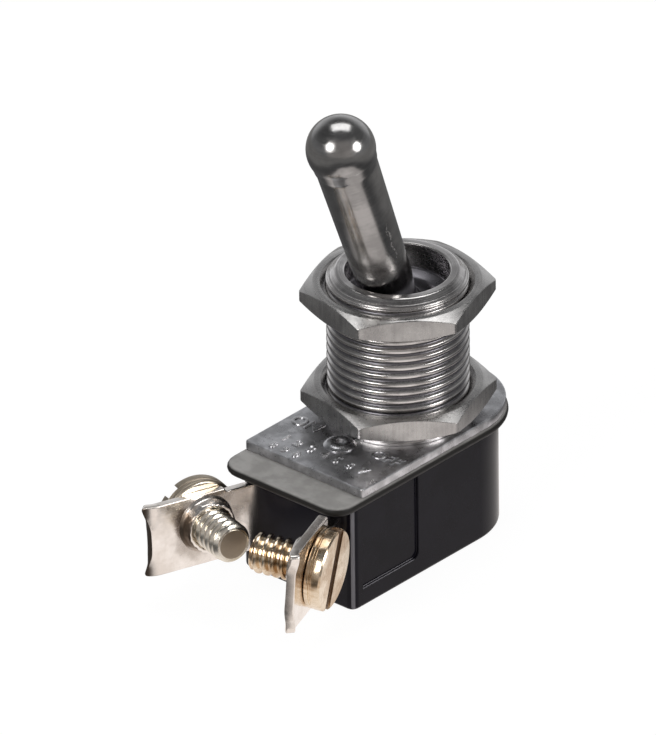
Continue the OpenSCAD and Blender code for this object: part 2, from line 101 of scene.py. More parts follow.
# %% Skin a stack of rings
def skin(rings, closed=False):
    """Points and faces over a stack of rings. A closed stack returns to its first ring."""
    count, around = len(rings), len(rings[0])
    points = [tuple(p) for ring in rings for p in ring]
    faces = []
    for k in range(count if closed else count - 1):
        a, b = k * around, ((k + 1) % count) * around
        for i in range(around):
            j = (i + 1) % around
            faces.append((a + i, a + j, b + j, b + i))
    if not closed:
        faces.append(tuple(range(around)))
        faces.append(tuple(range((count - 1) * around, count * around)))
    return points, faces


def turned(profile, sides=96):
    """A lathe shape about Z from (radius, height) points, from axis to axis or closed."""
    angles = np.linspace(0, 2 * pi, sides, endpoint=False)
    rings = [[(r * cos(a), r * sin(a), z) for a in angles] for r, z in profile]
    on_axis = profile[0][0] < 1e-6 and profile[-1][0] < 1e-6
    points, faces = skin(rings, closed=not on_axis)
    if on_axis:
        faces = faces[:-2]
    return points, faces


def soften(corners, radius, steps=3, closed=False):
    """Rounds each corner of a profile. A corner may carry its own radius as a third value."""
    done = []
    count = len(corners)
    for i, corner in enumerate(corners):
        here = np.array(corner[:2], float)
        r = corner[2] if len(corner) > 2 else radius
        if not closed and i in (0, count - 1) or r == 0:
            done.append(tuple(here))
            continue
        before = np.array(corners[i - 1][:2], float) - here
        after = np.array(corners[(i + 1) % count][:2], float) - here
        d = min(r, 0.45 * np.linalg.norm(before), 0.45 * np.linalg.norm(after))
        p0 = here + before / np.linalg.norm(before) * d
        p2 = here + after / np.linalg.norm(after) * d
        for t in np.linspace(0, 1, steps + 1):
            done.append(tuple((1 - t) ** 2 * p0 + 2 * t * (1 - t) * here + t * t * p2))
    return done


# %% Join parts into one finished piece
def placed(name, data):
    """A new object for this data, linked into the scene."""
    thing = bpy.data.objects.new(name, data)
    bpy.context.scene.collection.objects.link(thing)
    return thing


def plain_mesh(thing):
    """The object with its modifiers or curve settings worked in, as a mesh of its own."""
    depsgraph = bpy.context.evaluated_depsgraph_get()
    return bpy.data.meshes.new_from_object(thing.evaluated_get(depsgraph))


def used_up(thing):
    """The same, and the object itself goes."""
    mesh = plain_mesh(thing)
    bpy.data.objects.remove(thing)
    return mesh


def saved(work, name):
    """A mesh from a bmesh, which is freed."""
    mesh = bpy.data.meshes.new(name)
    work.to_mesh(mesh)
    work.free()
    return mesh


def mesh_of(parts):
    """One bmesh in metres from several (points, faces) in millimetres, or from meshes."""
    work = bmesh.new()
    for part in parts:
        if isinstance(part, bpy.types.Mesh):
            work.from_mesh(part)
            continue
        points, faces = part
        made = [work.verts.new(Vector(p) * MM) for p in points]
        for face in faces:
            work.faces.new([made[i] for i in face])
    bmesh.ops.remove_doubles(work, verts=work.verts, dist=MICRON)
    bmesh.ops.dissolve_degenerate(work, edges=work.edges, dist=1e-7)
    bmesh.ops.recalc_face_normals(work, faces=work.faces)
    return work


def finish_piece(name, parts, material, body, nodes=(), sharp=32, place=None):
    """Makes the object, smooths it, and lets it ride on its CAD body. Weighted normals
    keep the flat faces flat between their rounded edges."""
    work = mesh_of(parts)
    if place is not None:
        bmesh.ops.transform(work, matrix=place, verts=work.verts)
        if place.determinant() < 0:
            bmesh.ops.reverse_faces(work, faces=work.faces)
    open_edges = sum(1 for e in work.edges if not e.is_manifold)
    mesh = saved(work, name)
    mesh.materials.clear()
    mesh.materials.append(material)
    mesh.shade_smooth()
    mesh.set_sharp_from_angle(angle=radians(sharp))
    piece = placed(name, mesh)
    steady = piece.modifiers.new("steady", "WEIGHTED_NORMAL")
    steady.keep_sharp, steady.weight = True, 80
    piece.data = plain_mesh(piece)
    piece.modifiers.clear()
    bpy.data.meshes.remove(mesh)
    mesh = piece.data
    if nodes:
        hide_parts(*nodes)
    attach(piece, body)
    print(f"{name}: {len(mesh.polygons)} faces, {open_edges} open edges")
    return piece


def cut_away(parts, cutters, bevel=0.0):
    """The parts less the cutters, as a mesh in metres. bevel breaks the new edges, in mm."""
    blank, tool = [placed("rough", saved(mesh_of(group), "rough")) for group in (parts, cutters)]
    cut = blank.modifiers.new("cut", "BOOLEAN")
    cut.operation, cut.solver, cut.object = "DIFFERENCE", "EXACT", tool
    flat = blank.modifiers.new("flat", "DECIMATE")
    flat.decimate_type, flat.angle_limit = "DISSOLVE", radians(0.5)
    if bevel:
        edge = blank.modifiers.new("edge", "BEVEL")
        edge.width, edge.segments = bevel * MM, 2
        edge.limit_method, edge.angle_limit = "ANGLE", radians(50)
    result = used_up(blank)
    bpy.data.objects.remove(tool)
    return result


# %% [markdown]
# ## Finishes
# Small differences over a surface make a metal look real. Three effects are used by most
# of the finishes here, so each is a shader node group that is built once: fine straight
# scratches, the rings that a lathe leaves, and a soft mottling. A group puts out only
# values that change over the surface. The shader itself stays in the material.

# %% Node helpers
FLOAT, VECTOR = "NodeSocketFloat", "NodeSocketVector"


def link_or_set(value, socket):
    if isinstance(value, bpy.types.NodeSocket):
        socket.id_data.links.new(value, socket)
    else:
        socket.default_value = value


def beside(values, kind):
    """A new node in the tree that the first socket among the values belongs to."""
    tree = next(v.id_data for v in values if isinstance(v, bpy.types.NodeSocket))
    return tree.nodes.new(kind)


def calc(operation, *values, clamp=False):
    node = beside(values, "ShaderNodeMath")
    node.operation, node.use_clamp = operation, clamp
    for i, value in enumerate(values):
        link_or_set(value, node.inputs[i])
    return node.outputs[0]


def new_node(tree, kind, **inputs):
    """A node with the named inputs linked or set. An underscore stands for a space."""
    node = tree.nodes.new(kind)
    for label, value in inputs.items():
        link_or_set(value, node.inputs[label.replace("_", " ")])
    return node


def times(*values):
    product = values[0]
    for value in values[1:]:
        product = calc("MULTIPLY", product, value)
    return product


def plus(first, second, clamp=False):
    return calc("ADD", first, second, clamp=clamp)


def minus(first, second):
    return calc("SUBTRACT", first, second)


def ramp(value, low, high, to_low=0.0, to_high=1.0):
    """Maps a value from low..high to to_low..to_high, held at both ends."""
    node = beside([value], "ShaderNodeMapRange")
    node.interpolation_type = "SMOOTHSTEP"
    for i, v in enumerate((value, low, high, to_low, to_high)):
        link_or_set(v, node.inputs[i])
    return node.outputs[0]


def combine(*values):
    node = beside(values, "ShaderNodeCombineXYZ")
    for i, value in enumerate(values):
        link_or_set(value, node.inputs[i])
    return node.outputs[0]


def separate(vector):
    node = beside([vector], "ShaderNodeSeparateXYZ")
    link_or_set(vector, node.inputs[0])
    return node.outputs


def blend(share, first, second):
    """Mixes two colours. Either may be a fixed colour or a socket."""
    node = beside([share], "ShaderNodeMix")
    node.data_type = "RGBA"
    link_or_set(share, node.inputs[0])
    for value, socket in ((first, node.inputs[6]), (second, node.inputs[7])):
        link_or_set(value if isinstance(value, bpy.types.NodeSocket) else (*value, 1), socket)
    return node.outputs[2]


def normal_of(vector):
    """The surface's normal, in the tree of this vector."""
    return separate(beside([vector], "ShaderNodeNewGeometry").outputs["Normal"])


def radius_of(x, y):
    return calc("SQRT", plus(times(x, x), times(y, y)))


def noise(vector, scale, detail=3.0):
    node = beside([vector], "ShaderNodeTexNoise")
    for value, label in ((vector, "Vector"), (scale, "Scale"), (detail, "Detail")):
        link_or_set(value, node.inputs[label])
    return node.outputs["Fac"]


def new_group(name, inputs, outputs):
    tree = bpy.data.node_groups.new(name, "ShaderNodeTree")
    for label, kind, value in inputs:
        socket = tree.interface.new_socket(label, in_out="INPUT", socket_type=kind)
        if value is not None:
            socket.default_value = value
    for label in outputs:
        tree.interface.new_socket(label, in_out="OUTPUT", socket_type=FLOAT)
    return tree, tree.nodes.new("NodeGroupInput"), tree.nodes.new("NodeGroupOutput")


# %% Straight scratches, long in one direction
def scratches_group():
    tree, given, out = new_group(
        "Straight scratches",
        [("Vector", VECTOR, None), ("Across", FLOAT, 9000.0), ("Along", FLOAT, 300.0)],
        ["Lines"])
    x, y, z = separate(given.outputs["Vector"])
    across, along = given.outputs["Across"], given.outputs["Along"]
    stretched = combine(times(x, across), times(y, across), times(z, along))
    tree.links.new(noise(stretched, 1.0), out.inputs["Lines"])
    return tree


# %% Rings left by a lathe, about the local Z axis
def rings_group():
    tree, given, out = new_group(
        "Lathe rings", [("Vector", VECTOR, None), ("Fineness", FLOAT, 9000.0)], ["Lines"])
    x, y, z = separate(given.outputs["Vector"])
    radius = radius_of(x, y)
    angle = times(calc("SINE", calc("ARCTAN2", y, x)), 0.8)
    fine = given.outputs["Fineness"]
    place = combine(times(radius, fine), times(z, fine), angle)
    tree.links.new(noise(place, 1.0), out.inputs["Lines"])
    return tree


# %% Soft mottling, as from handling and uneven plating
def mottle_group():
    tree, given, out = new_group(
        "Soft mottling", [("Vector", VECTOR, None), ("Scale", FLOAT, 400.0)],
        ["Mask", "Fine"])
    vector, scale = given.outputs["Vector"], given.outputs["Scale"]
    tree.links.new(ramp(noise(vector, scale, 4.0), 0.35, 0.65), out.inputs["Mask"])
    tree.links.new(noise(vector, times(scale, 9.0), 2.0), out.inputs["Fine"])
    return tree


EFFECTS = {"scratches": scratches_group(), "rings": rings_group(), "mottle": mottle_group()}
print("shared effects:", ", ".join(tree.name for tree in EFFECTS.values()))


# %% [markdown]
# A finish is built from those effects by one function, because the metals of this switch
# differ only in their colours and in how strong each effect is. The pattern is placed by
# Object coordinates. A turned or tilted piece gives its own placing matrix, so that rings
# and scratches follow the piece's axis and not the world's.

# %% One function for every finish
def effect(name, vector, **sizes):
    node = beside([vector], "ShaderNodeGroup")
    node.node_tree = EFFECTS[name]
    link_or_set(vector, node.inputs["Vector"])
    for label, value in sizes.items():
        node.inputs[label].default_value = value
    return node.outputs


def finish(name, dark, light, metallic, rough, spread=0.08, lines="scratches", across=9000.0,
           along=300.0, fineness=9000.0, place=None, blotch=400.0, tone=0.4,
           line_bump=0.0, fine_bump=0.0, stain=None, specular=None):
    """A procedural material between two tones, with lines, mottling and fine grain.
    Heights of the bumps are micrometres. stain(vector) may give a mask, a colour
    and a roughness for a part that differs."""
    material = bpy.data.materials.new(name)
    material.use_nodes = True
    tree = material.node_tree
    shader = tree.nodes["Principled BSDF"]
    vector = tree.nodes.new("ShaderNodeTexCoord").outputs["Object"]
    if place is not None:
        mapping = tree.nodes.new("ShaderNodeMapping")
        mapping.vector_type = "TEXTURE"
        mapping.inputs["Location"].default_value = place.to_translation()
        mapping.inputs["Rotation"].default_value = place.to_euler()
        tree.links.new(vector, mapping.inputs["Vector"])
        vector = mapping.outputs[0]
    if lines != "rings":
        marks = effect("scratches", vector, Across=across, Along=along)["Lines"]
    if lines != "scratches":
        rings = effect("rings", vector, Fineness=fineness)["Lines"]
    if lines == "rings":
        marks = rings
    if lines == "both":
        facing_up = ramp(calc("ABSOLUTE", normal_of(vector)[2]), 0.2, 0.4)
        marks = plus(times(rings, facing_up), times(marks, minus(1.0, facing_up)))
    spots = effect("mottle", vector, Scale=blotch)
    shift = times(minus(marks, 0.5), 4 * tone)
    share = plus(spots["Mask"], shift, clamp=True)
    colour = blend(share, dark, light)
    uneven = plus(times(spots["Fine"], 0.5), times(marks, 0.5))
    roughness = ramp(uneven, 0.35, 0.65, rough - spread / 2, rough + spread / 2)
    if stain is not None:
        mask, stain_colour, stain_rough = stain(vector)
        colour = blend(mask, colour, stain_colour)
        roughness = plus(roughness, times(mask, stain_rough))
    tree.links.new(colour, shader.inputs["Base Color"])
    tree.links.new(roughness, shader.inputs["Roughness"])
    shader.inputs["Metallic"].default_value = metallic
    if specular is not None:
        shader.inputs["Specular IOR Level"].default_value = specular
    if line_bump or fine_bump:
        height = plus(times(marks, line_bump), times(spots["Fine"], fine_bump))
        bump = new_node(tree, "ShaderNodeBump", Strength=1.0, Distance=MICRON, Height=height)
        tree.links.new(bump.outputs[0], shader.inputs["Normal"])
    return material


# %% [markdown]
# Some pieces need a mask of their own: the bore and thread roots of the bushing carry painted
# shade, the moulding's front arrises carry a painted highlight, the cut rim of the fibre is
# darker than its face and carries painted shade where it rounds down, the plating round each
# collar is stained and carries a painted reflection of the brass head with painted shade on its
# sheared end, and the screws carry painted shade low in the slot and show bare metal at the
# tip. Each mask is measured in the piece's own coordinates.

# %% Masks that belong to one piece
PITCH, THREAD_R, THREAD_DEPTH = 0.794, 5.95, 0.24
LAND_LOW, CORE_R, MOUTH_R, PIVOT_Z = 9.5, 5.3, 4.35, 5.9


def painted_shade_bore_and_roots(vector):
    """Painted shade: darker, duller metal inside the bushing's mouth and between its thread
    turns.
    """
    x, y, z = separate(vector)
    radius = radius_of(x, y)
    bore = ramp(radius, (MOUTH_R + 0.1) * MM, (MOUTH_R - 0.05) * MM)
    root = times(ramp(radius, (THREAD_R - 0.11) * MM, (THREAD_R - 0.21) * MM),
                 ramp(z, (LAND_LOW - 0.05) * MM, (LAND_LOW - 0.15) * MM),
                 ramp(radius, (CORE_R - 0.1) * MM, CORE_R * MM))
    return calc("MAXIMUM", bore, root), (0.17, 0.165, 0.18), 0.1


def painted_edge_highlights(vector):
    """Painted highlight: the moulding's front arrises are paler, where the normals lie between
    the faces.
    """
    side = calc("ABSOLUTE", normal_of(vector)[0])
    mask = times(ramp(side, 0.9, 0.82), ramp(side, 0.52, 0.6))
    x, y, z = separate(vector)
    front = ramp(y, -5.0 * MM, -5.4 * MM)
    return times(mask, front, 0.8), (0.26, 0.255, 0.28), 0.1


def cut_rim_and_painted_shade(vector):
    """The punched rim of the fibre, darker than its face, and painted shade where the edge
    rounds down; the normal tells rim from face.
    """
    return ramp(normal_of(vector)[2], 0.985, 0.55), (0.014, 0.013, 0.012), 0.0


# %% Mix the finishes that need no placing
# The turned nickel carries painted shade in the bushing's bore and between its thread turns.
thread_nickel = finish("turned nickel", (0.42, 0.405, 0.40), (0.74, 0.72, 0.71), 1.0, 0.21,
                       lines="rings", fineness=14000, tone=0.6, line_bump=1.0,
                       stain=painted_shade_bore_and_roots)
nut_steel = finish("plated nut steel", (0.40, 0.39, 0.385), (0.54, 0.53, 0.52), 1.0, 0.29,
                   lines="both", across=5000, along=60, fineness=5000, tone=0.5,
                   line_bump=1.2)
plate_steel = finish("dark plate steel", (0.46, 0.46, 0.475), (0.72, 0.72, 0.745), 1.0, 0.31,
                     across=900, along=900, fine_bump=3.0, blotch=800)
rivet_steel = finish("rolled rivet steel", (0.42, 0.42, 0.435), (0.62, 0.62, 0.64), 1.0, 0.28,
                     across=700, along=700, fine_bump=1.5)
# The marks' steel is paler than the plate's: a painted highlight on the raised strokes.
mark_steel_painted_highlight = finish("stamped steel with painted highlight", (0.55, 0.55, 0.56), (0.80, 0.80, 0.82), 1.0, 0.28,
                    across=900, along=900, fine_bump=1.0)
# The pressed fibre carries painted shade on its rounded edge and punched rim.
fibre = finish("pressed fibre", (0.30, 0.295, 0.285), (0.39, 0.383, 0.374), 0.0, 0.5,
               across=900, along=900, fine_bump=5.0, blotch=700, specular=0.25,
               stain=cut_rim_and_painted_shade)
# The black phenolic carries a painted highlight along its front arrises.
phenolic = finish("black phenolic", (0.0055, 0.005, 0.0085), (0.009, 0.0082, 0.013), 0.0,
                  0.16, spread=0.05, across=600, along=600, fine_bump=0.5, blotch=200,
                  specular=0.11, stain=painted_edge_highlights)
plain_steel = finish("plain steel", (0.45, 0.45, 0.45), (0.6, 0.6, 0.6), 1.0, 0.3)
plain_brass = finish("plain brass", (0.5, 0.36, 0.16), (0.66, 0.5, 0.26), 1.0, 0.3)
contact_bronze = finish("contact bronze", (0.45, 0.26, 0.13), (0.6, 0.38, 0.2), 1.0, 0.3)
contact_silver = finish("contact silver", (0.7, 0.7, 0.72), (0.88, 0.88, 0.9), 1.0, 0.25)
print("finishes:", len(bpy.data.materials))


# %% [markdown]
# ## The moulded housing
# The housing is a phenolic moulding with one round end, a sunk panel on each long side and
# broken edges. The outline below is shared with both plates. Each level of the stack uses
# the same outline drawn in a little further, which rounds the edge, and the open inside
# belongs to the same skin, so the wall is closed all the way round.

# %% The outline with one round end
def d_outline(width, front, round_y, corner, inset=0.0, arc=56, turn=7):
    """Points of the outline, anticlockwise from the +X side."""
    half, r = width / 2 - inset, max(corner - inset, 0.02)
    points = [(half * cos(a), round_y + half * sin(a)) for a in np.linspace(0, pi, arc)]
    for side, start in ((-1, pi), (1, 1.5 * pi)):
        cx, cy = side * (width / 2 - corner), corner - front
        points += [(cx + r * cos(a), cy + r * sin(a))
                   for a in np.linspace(start, start + pi / 2, turn)]
    return points


def level(outline, z):
    return [(x, y, z) for x, y in outline]


def edge_levels(z, edge, up):
    """(inset, height) pairs of a rounded edge at z, from outside in where up is 1."""
    pairs = [(edge * (1 - cos(t)), z - up * edge * (1 - sin(t)))
             for t in np.linspace(0, pi / 2, 5)]
    return pairs if up == 1 else pairs[::-1]


# %% Mould the housing
HOUSING = dict(width=housing_high.x - housing_low.x, front=-housing_low.y,
               round_y=housing_high.y - (housing_high.x - housing_low.x) / 2, corner=0.75)
HOUSING_WALL, HOUSING_FLOOR = 1.1, 1.4
rings = [level(d_outline(**HOUSING, inset=i), z) for i, z in edge_levels(BASE_Z, 0.35, -1)]
rings += [level(d_outline(**HOUSING, inset=i), z) for i, z in edge_levels(HOUSING_TOP, 0.12, 1)]
inside = d_outline(**HOUSING, inset=HOUSING_WALL)
rings += [level(inside, HOUSING_TOP), level(inside, BASE_Z + HOUSING_FLOOR)]
housing_blank = skin(rings)


def sunk_panel(side):
    """A cutter for the shallow panel in one side wall, with a broken rim."""
    depth, rim, lift, inset, length, corner = 0.25, 0.06, 1.8, 1.3, 6.9, 0.6
    y0, z0, z1 = inset - HOUSING["front"], BASE_Z + lift, HOUSING_TOP + 1
    y1 = y0 + length
    face = HOUSING["width"] / 2
    rings = []
    for out, grow in ((-depth, -0.05), (-depth + 0.05, 0), (-rim, 0), (0.5, rim + 0.5)):
        r = corner + grow
        ring = [(y0 - grow, z1 + grow), (y0 - grow, z0 - grow)]
        ring += [(y1 - corner + r * sin(a), z0 + corner - r * cos(a))
                 for a in np.linspace(0, pi / 2, 9)]
        ring += [(y1 + grow, z1 + grow)]
        rings.append([(side * (face + out), y, z) for y, z in ring])
    return skin(rings)


housing_mesh = cut_away([housing_blank], [sunk_panel(1), sunk_panel(-1)])
finish_piece("moulded_housing", [housing_mesh], phenolic, "case", ["housing"],
             sharp=28)

# %% [markdown]
# ## The two plates
# The fibre insulator closes the housing and stands out at the front as a ledge. The steel
# frame plate lies on it and carries the bushing. Both are punched from sheet: a plate with
# the shared outline, a hole for the bushing, and the soft edge that punching leaves.

# %% Punch the plates
def plate(outline, low, high, edge, hole):
    """A punched plate with the outline's soft edge and a round hole about the axis."""
    rings = [level(d_outline(**outline, inset=inset), z)
             for inset, z in edge_levels(low, edge, -1) + edge_levels(high, edge, 1)]
    bore = [(x * hole / hypot(x, y), y * hole / hypot(x, y)) for x, y in d_outline(**outline)]
    return skin([level(bore, low)] + rings + [level(bore, high)], closed=True)


INSULATOR = dict(width=insulator_high.x - insulator_low.x, front=-insulator_low.y,
                 round_y=insulator_high.y - insulator_high.x, corner=1.9)
FRAME_PLATE = dict(width=plate_high.x - plate_low.x, front=-plate_low.y,
                   round_y=plate_high.y - plate_high.x, corner=0.25)
finish_piece("fibre_insulator",
             [plate(INSULATOR, insulator_low.z, insulator_high.z, 0.39, 5.85)],
             fibre, "case", ["insulator_plate"])
finish_piece("steel_frame_plate", [plate(FRAME_PLATE, plate_low.z, plate_high.z, 0.13, 5.43)],
             plate_steel, "case", ["frame_plate"])

# %% [markdown]
# The rivets are tubular: a hollow shank whose rim is rolled over the plate into a soft
# ring. A lathe profile is the natural way to draw one, and the second is a copy of it at
# the other end of the housing.

# %% Turn the rivets
def rivet(node):
    low, high = node_box(node)
    y, head_r, rim = (low.y + high.y) / 2, (high.x - low.x) / 2, high.z
    profile = soften([(0, rim - 0.36, 0), (0.24, rim - 0.34, 0.1), (0.5, rim - 0.06, 0.2),
                      (0.78, rim + 0.03, 0.25), (1.12, rim - 0.06, 0.2),
                      (head_r + 0.05, rim - 0.28, 0.1),
                      (head_r + 0.05, PLATE_TOP, 0.03), (0.95, PLATE_TOP - 0.02, 0),
                      (0.95, low.z + 0.5, 0.05), (head_r, low.z + 0.45), (head_r, low.z, 0.05),
                      (0.5, low.z), (0.5, low.z + 0.4), (0, low.z + 0.4, 0)], 0.05, 5)
    points, faces = turned(profile, 96)
    points = [(a, b + y, c) for a, b, c in points]
    name = node.replace("rivet", "tubular_rivet")
    return finish_piece(name, [(points, faces)], rivet_steel, "case", [node])


rivet("rivet_front")
rivet("rivet_rear")


# %% [markdown]
# ## The thread
# A thread follows a rule: one profile, carried round a helix at a fixed pitch. Geometry
# Nodes can say that directly. A flat grid is bent so that its columns run round the axis,
# and each row climbs by one pitch a turn, so the rows lie exactly along crest and root.
# The same tree makes the bushing's thread and both screws' threads from named inputs.

# %% Build the thread's node tree
def thread_tree():
    tree = bpy.data.node_groups.new("Screw thread", "GeometryNodeTree")
    tree.interface.new_socket("Geometry", in_out="OUTPUT", socket_type="NodeSocketGeometry")
    for label, value in (("Radius", 6.0), ("Pitch", 0.8), ("Depth", 0.5), ("Low", 0.0),
                         ("High", 10.0), ("Inner radius", 4.0), ("Lead", 0.0)):
        socket = tree.interface.new_socket(label, in_out="INPUT", socket_type=FLOAT)
        socket.default_value = value * MM
    for label, value in (("Sides", 96), ("Steps", 16), ("Turns", 14)):
        socket = tree.interface.new_socket(label, in_out="INPUT", socket_type="NodeSocketInt")
        socket.default_value = value
    tree.interface.new_socket("Finish", in_out="INPUT", socket_type="NodeSocketMaterial")
    given, out = tree.nodes.new("NodeGroupInput"), tree.nodes.new("NodeGroupOutput")
    size = given.outputs
    last = times(size["Turns"], size["Steps"])
    grid = new_node(tree, "GeometryNodeMeshGrid", Size_X=1.0, Size_Y=1.0,
                    Vertices_X=plus(size["Sides"], 1), Vertices_Y=plus(last, 4))
    spot = separate(tree.nodes.new("GeometryNodeInputPosition").outputs[0])
    turn = plus(spot["X"], 0.5)
    row = calc("ROUND", times(plus(spot["Y"], 0.5), plus(last, 3)))
    # Rows past the last one close the tube: inner wall up, inner wall down, first row again.
    closing = calc("GREATER_THAN", row, plus(last, 2.5))
    row_used = times(row, minus(1.0, closing))
    inner = times(calc("GREATER_THAN", row, plus(last, 0.5)), minus(1.0, closing))
    inner_high = calc("LESS_THAN", row, plus(last, 1.5))
    climb = plus(minus(calc("DIVIDE", row_used, size["Steps"]), 1.0), turn)
    height = plus(size["Low"], times(climb, size["Pitch"]))
    height = calc("MINIMUM", calc("MAXIMUM", height, size["Low"]), size["High"])
    risen = calc("DIVIDE", minus(height, size["Low"]), size["Pitch"])
    phase = calc("FRACT", minus(risen, turn))
    to_crest = calc("ABSOLUTE", minus(times(phase, 2.0), 1.0))
    sunk = ramp(to_crest, 0.05, 0.8, 1.0, 0.0)
    radius = minus(size["Radius"], times(sunk, size["Depth"]))
    lead = plus(minus(size["Radius"], size["Lead"]), minus(height, size["Low"]))
    radius = calc("MINIMUM", radius, lead)

    def choose(test, yes, no):
        return plus(times(test, yes), times(minus(1.0, test), no))

    radius = choose(inner, size["Inner radius"], radius)
    height = choose(inner, choose(inner_high, size["High"], size["Low"]), height)
    angle = times(turn, 2 * pi)
    point = combine(times(radius, calc("COSINE", angle)),
                    times(radius, calc("SINE", angle)), height)
    shape = grid.outputs["Mesh"]
    for kind, inputs in (("SetPosition", {"Position": point}),
                         ("MergeByDistance", {"Distance": MICRON}),
                         ("RealizeInstances", {}),
                         ("SetMaterial", {"Material": size["Finish"]})):
        shape = new_node(tree, "GeometryNode" + kind, Geometry=shape, **inputs).outputs[0]
    tree.links.new(shape, out.inputs["Geometry"])
    return tree


thread = thread_tree()


# %% Turn a tree's result into a plain mesh
def grown(tree, material, **sizes):
    """The evaluated result of a node tree as a mesh. Sizes are set by each input's identifier."""
    carrier = placed("carrier", bpy.data.meshes.new("carrier"))
    modifier = carrier.modifiers.new("nodes", "NODES")
    modifier.node_group = tree
    for item in tree.interface.items_tree:
        if item.in_out != "INPUT":
            continue
        if item.name == "Finish":
            modifier[item.identifier] = material
        elif item.name in sizes:
            value = sizes[item.name]
            modifier[item.identifier] = value if isinstance(value, int) else value * MM
    mesh = used_up(carrier)
    print(tree.name, "gave", len(mesh.polygons), "faces")
    return mesh


# %% [markdown]
# ## The bushing
# The bushing is turned from bar: a plain lead at the top, the long thread, and a neck that
# is staked through the plate. The core is a lathe shape with the hourglass bore that the
# lever's ball sits in, and the thread from the node tree lies round it.

# %% Turn the bushing
core = soften([
    (4.95, bushing_low.z, 0.05), (5.6, bushing_low.z, 0.1), (5.8, bushing_low.z + 0.25, 0.1),
    (5.8, plate_low.z - 0.02, 0.03), (5.4, plate_low.z - 0.02, 0.03), (5.4, PLATE_TOP, 0.03),
    (5.9, PLATE_TOP, 0.05), (5.9, PLATE_TOP + 0.5, 0.05), (CORE_R, PLATE_TOP + 0.7, 0.03),
    (CORE_R, LAND_LOW - 0.25, 0.03), (5.88, LAND_LOW, 0.1), (THREAD_R, LAND_LOW + 0.12, 0.08),
    (THREAD_R, BUSHING_TOP - 0.72, 0.05), (5.84, BUSHING_TOP - 0.66, 0.02),
    (5.84, BUSHING_TOP - 0.58, 0.02), (5.68, BUSHING_TOP - 0.42, 0.03),
    (5.6, BUSHING_TOP - 0.42, 0.02), (5.2, BUSHING_TOP - 0.04, 0.05),
    (5.05, BUSHING_TOP, 0.04), (4.5, BUSHING_TOP, 0.04), (4.38, BUSHING_TOP - 0.1, 0.05),
    (MOUTH_R, BUSHING_TOP - 2.2, 0.25), (3.3, BUSHING_TOP - 2.6, 0.2),
    (2.85, PIVOT_Z + 1.25, 0.15), (3.05, PIVOT_Z + 0.3, 0.1), (3.05, PIVOT_Z - 0.5, 0.1),
], 0.05, closed=True)
bushing_thread = grown(thread, thread_nickel, Radius=THREAD_R, Pitch=PITCH,
                       Depth=THREAD_DEPTH, Low=PLATE_TOP + 0.3, High=LAND_LOW + 0.1, Lead=0.0,
                       **{"Inner radius": 5.2, "Sides": 112, "Steps": 16, "Turns": 18})
finish_piece("threaded_bushing", [turned(core, 112), bushing_thread], thread_nickel, "case",
             ["bushing"], sharp=40)


# %% [markdown]
# ## The nuts
# A nut is a hexagon bar that was chamfered in a lathe, so the chamfer's edge runs up and
# down along each flat in a shallow curve. Both follow from one rule: at each angle the flat
# gives the radius, and the cone gives the height at which the flat begins.

# %% Machine the nuts
NUT_FLATS, NUT_TURN, NUT_CHAMFER = 14.29, radians(-12.4), radians(25)


def nut(node, name):
    low, high = node_box(node)
    thick, apothem, turn = high.z - low.z, NUT_FLATS / 2, NUT_TURN
    face_r, bore, relief = 0.985 * apothem, THREAD_R + 0.05, 0.45
    slope = tan(NUT_CHAMFER)
    steps = [-30, -29.4, -28.8, -28, -25, -20, -15, -10, -5, 0, 5, 10, 15, 20, 25, 28, 28.8, 29.4]
    rings = [[] for _ in range(12)]
    for k in range(6):
        for s in steps:
            a = turn + radians(30 + 60 * k + s)
            flat = min(apothem / cos(radians(s)), apothem / cos(pi / 6) - 0.07)
            drop = (flat - face_r) * slope
            rows = [(bore + relief, 0), (face_r - 0.03, 0), (face_r + 0.03, 0.02),
                    (flat - 0.04, drop - 0.01), (flat, drop + 0.04),
                    (flat, thick - drop - 0.04), (flat - 0.04, thick - drop + 0.01),
                    (face_r + 0.03, thick - 0.02), (face_r - 0.03, thick),
                    (bore + relief, thick), (bore, thick - relief), (bore, relief)]
            for ring, (r, z) in zip(rings, rows):
                ring.append((r * cos(a), r * sin(a), low.z + z))
    return finish_piece(name, [skin(rings, closed=True)], nut_steel, node, [node],
                        sharp=24)


nut("nut_upper", "upper_panel_nut")
nut("nut_lower", "lower_panel_nut")

# %% [markdown]
# ## The lever
# The bat lever is one turned piece: a ball at the tip, a shaft that tapers down, a ball
# that turns in the bushing and a hollow tail for the spring. It is drawn upright about the
# pivot and then tilted into its rest pose.

# %% Turn the lever
TIP_R, TIP_DIST, BALL_R, REST_TILT = 2.92, 19.95, 3.0, radians(20)
lever_place = Matrix.Translation((0, 0, PIVOT_Z * MM)) @ Matrix.Rotation(REST_TILT, 4, "X")


def old_scratch(vector):
    """One long scuff on the lever's right side, a little paler than the plating."""
    x, y, z = separate(vector)
    angle = calc("ARCTAN2", y, x)
    wander = times(minus(noise(vector, 900.0), 0.5), 0.5)
    off = calc("ABSOLUTE", plus(angle, wander))
    line = ramp(off, 0.05, 0.015)
    ends = times(ramp(z, 7.5 * MM, 8.5 * MM), ramp(z, 12.5 * MM, 11.5 * MM))
    broken = ramp(noise(vector, 5000.0), 0.42, 0.56)
    return times(line, ends, broken), (0.75, 0.73, 0.72), 0.15


lever_nickel = finish("black nickel", (0.29, 0.285, 0.282), (0.41, 0.402, 0.398), 1.0, 0.19,
                      lines="rings", fineness=5000, place=lever_place, tone=0.25,
                      line_bump=0.5, fine_bump=0.25, stain=old_scratch)


def ball_arc(radius, centre, start, end, steps):
    """Profile points of a ball, by angle from the lower pole."""
    return [(radius * sin(radians(a)), centre - radius * cos(radians(a)))
            for a in np.linspace(start, end, steps)]


